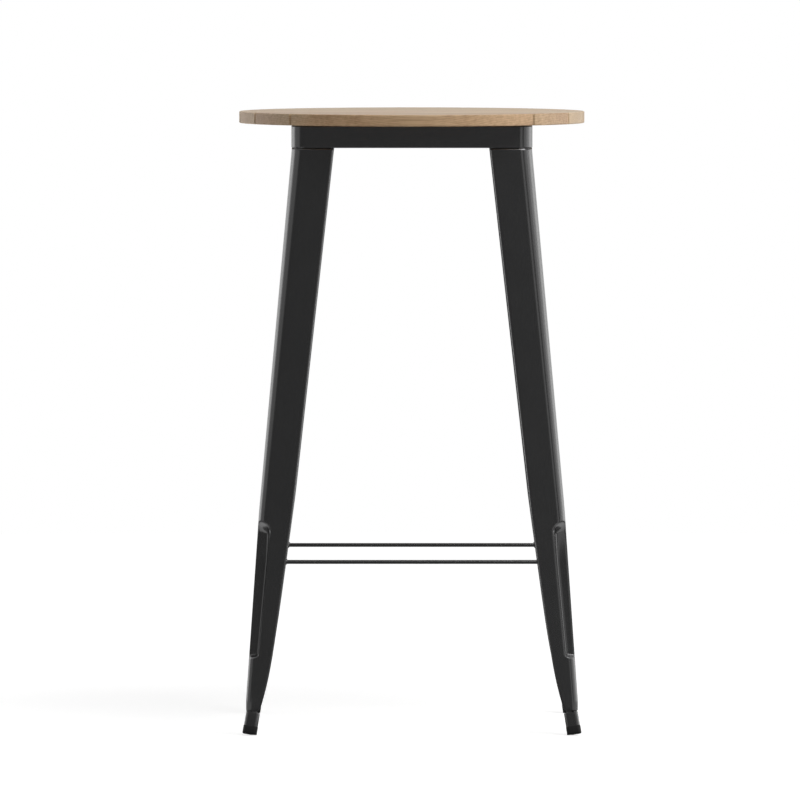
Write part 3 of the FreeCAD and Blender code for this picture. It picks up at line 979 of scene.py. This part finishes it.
def make_rung_welds(coat):
    """Weld bead round each end of each rung, on the returned edge that it passes through."""
    reach, width, _, _ = leg_section(rod_height)
    above = leg_section(rod_height + bead_width)
    edge_slope = (above[0] - above[1] - reach + width) / bead_width
    radius = rod_diameter / 2

    def bead_place(around, along):
        def place(angle):
            ripple = bead_ripple * math.sin(bead_ripple_count * angle)
            out = radius + around + (ripple if around > 0 else 0)
            up = out * math.sin(angle)
            return Vector((out * math.cos(angle), up, along - up * edge_slope))
        return place

    places = [bead_place(bead_width, -bead_root)]
    for step in range(bead_steps + 1):
        turn = math.radians(90) * step / bead_steps
        places.append(bead_place(bead_width * math.cos(turn), bead_width * math.sin(turn)))
    places.append(bead_place(-bead_root, bead_width))
    bead = looped(stacked_shell(places, rod_segments))
    along_back = Matrix(((0, 0, -1), (-1, 0, 0), (0, 1, 0)))
    bmesh.ops.rotate(bead, cent=(0, 0, 0), matrix=along_back, verts=bead.verts)
    ends = [(0, (reach - width, reach - rod_inset)), (math.radians(90), (reach - rod_inset, reach - width))]
    beads = bmesh.new()
    for turn in corner_turns.values():
        for angle, spot in ends:
            added = added_copy(beads, bead)
            turn_mesh(beads, angle, added)
            bmesh.ops.translate(beads, vec=(*spot, rod_height), verts=added)
            turn_mesh(beads, turn, added)
    bead.free()
    make_piece("rung_welds", beads, coat, None)


def solid_places(node):
    """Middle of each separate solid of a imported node, as seen from above."""
    bm = bmesh.new()
    bm.from_mesh(frame["nodes"][node].data)
    bmesh.ops.remove_doubles(bm, verts=bm.verts, dist=merge_distance)
    left = set(bm.verts)
    places = []
    while left:
        border = [left.pop()]
        solid = list(border)
        while border:
            vert = border.pop()
            beside = {edge.other_vert(vert) for edge in vert.link_edges} & left
            left -= beside
            border += beside
            solid += beside
        xs = [vert.co.x for vert in solid]
        ys = [vert.co.y for vert in solid]
        places.append(((min(xs) + max(xs)) / 2, (min(ys) + max(ys)) / 2))
    bm.free()
    return sorted(places)


def make_fasteners(name, single, zinc, node):
    """Sets copies of a fastener, each turned a little further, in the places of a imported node's solids."""
    group = bmesh.new()
    for index, (x, y) in enumerate(solid_places(node)):
        added = added_copy(group, single)
        turn_mesh(group, fastener_turn * index, added)
        bmesh.ops.translate(group, vec=(x, y, 0), verts=added)
    single.free()
    make_piece(name, group, zinc, [node], sharp_fastener_edge)


def hexagon_place(height, chamfer_side=0):
    """Ring on a hexagon; at a chamfered face its corners are turned back along a cone."""
    def place(angle):
        folded = angle % math.radians(60) - math.radians(30)
        radius = hexagon_flats / 2 / math.cos(folded)
        back = (radius - hexagon_flats / 2 * hexagon_face_share) * math.tan(hexagon_chamfer)
        return Vector((radius * math.cos(angle), radius * math.sin(angle), height - chamfer_side * back))
    return place


def cross_place(share, height):
    """Ring on the outline of a screw's cross recess, drawn in by a share."""
    def place(angle):
        folded = abs((angle + math.radians(45)) % math.radians(90) - math.radians(45))
        radius = recess_arm / math.cos(folded)
        if math.tan(folded) > recess_half_width / recess_arm:
            radius = recess_half_width / math.sin(folded)
        return Vector((radius * share * math.cos(angle), radius * share * math.sin(angle), height))
    return place


def hex_bolt():
    seat = apron_bottom - leg_plate_thickness - washer_thickness
    face = seat - bolt_head_height
    end = apron_bottom + corner_plate_thickness + nut_height + bolt_end_stand
    radius = bolt_diameter / 2
    places = [round_place(hexagon_flats / 2 * hexagon_face_share, face), hexagon_place(face, -1),
              hexagon_place(seat), round_place(radius, seat)]
    for turn in range(threads_shown, 0, -1):
        crest = end - bolt_end_chamfer - turn * thread_pitch
        places += [round_place(radius, crest), round_place(radius - thread_depth, crest + thread_pitch / 2)]
    places += [round_place(radius, end - bolt_end_chamfer), round_place(radius - bolt_end_chamfer, end)]
    return capped(stacked_shell(places, bolt_segments))


def flat_washer():
    top = apron_bottom - leg_plate_thickness
    bottom = top - washer_thickness
    outer = washer_diameter / 2
    bore = washer_bore / 2
    ease = washer_edge_round
    places = [
        round_place(bore, bottom), round_place(outer - ease, bottom), round_place(outer, bottom + ease),
        round_place(outer, top - ease), round_place(outer - ease, top), round_place(bore, top)]
    return looped(stacked_shell(places, bolt_segments))


def weld_nut():
    bottom = apron_bottom + corner_plate_thickness
    top = bottom + nut_height
    face = hexagon_flats / 2 * hexagon_face_share
    bore = nut_bore / 2
    mouth = bore + thread_depth
    places = [round_place(bore, bottom), round_place(face, bottom), hexagon_place(bottom, -1),
              hexagon_place(top, 1), round_place(face, top), round_place(mouth, top),
              round_place(bore, top - thread_depth)]
    return looped(stacked_shell(places, bolt_segments))


def wood_screw(face, head_places, seat):
    """Cross-recess screw that points up: its head's rings from the face on, then shank and point."""
    radius = screw_diameter / 2
    places = [cross_place(recess_floor_share, face + recess_depth), cross_place(1, face)]
    places += head_places
    places += [round_place(radius, seat + screw_length - screw_point_length),
               round_place(screw_point_diameter / 2, seat + screw_length)]
    return capped(stacked_shell(places, screw_segments))


def flat_head_screw():
    head = screw_head_diameter / 2
    seat = top_underside
    return wood_screw(seat, [
        round_place(head - screw_edge_round, seat), round_place(head, seat + screw_edge_round),
        round_place(screw_diameter / 2, seat + screw_sink_height)], seat)


def pan_head_screw():
    head = screw_head_diameter / 2
    seat = top_underside - apron_wall
    face = seat - screw_head_height
    fillet = screw_head_height / 2
    arcs = []
    for step in range(screw_head_steps + 1):
        turn = math.radians(90) * step / screw_head_steps
        arcs.append(round_place(head - fillet * (1 - math.sin(turn)), face + fillet * (1 - math.cos(turn))))
    return wood_screw(face, arcs + [round_place(head, seat), round_place(screw_diameter / 2, seat)], seat)


def finish_nodes(finishes):
    """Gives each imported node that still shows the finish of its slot."""
    slots = {part["node"]: part["material_slot"] for part in frame["record"]["subparts"]}
    for name, node in frame["nodes"].items():
        node.data.materials.clear()
        node.data.materials.append(finishes[slots[name]])


set_camera()
set_world()
set_studio()
finishes = {
    "slat_wood": slat_wood(),
    "frame_coat": frame_coat(),
    "foot_rubber": foot_rubber(),
    "zinc_fastener": zinc_plate(),
}
finish_nodes(finishes)
make_apron(finishes["frame_coat"])
make_legs(finishes["frame_coat"])
for corner, turn in corner_turns.items():
    make_sleeve(corner, turn, finishes["frame_coat"])
    make_cap(corner, turn, finishes["foot_rubber"])
make_rungs(finishes["frame_coat"])
make_rung_welds(finishes["frame_coat"])
make_fasteners("cross_screws_slats", flat_head_screw(), finishes["zinc_fastener"], "slat_screws")
make_fasteners("cross_screws_frame", pan_head_screw(), finishes["zinc_fastener"], "frame_screws")
make_fasteners("hex_bolts", hex_bolt(), finishes["zinc_fastener"], "leg_bolts")
make_fasteners("washers", flat_washer(), finishes["zinc_fastener"], "leg_bolt_washers")
make_fasteners("nuts", weld_nut(), finishes["zinc_fastener"], "weld_nuts")
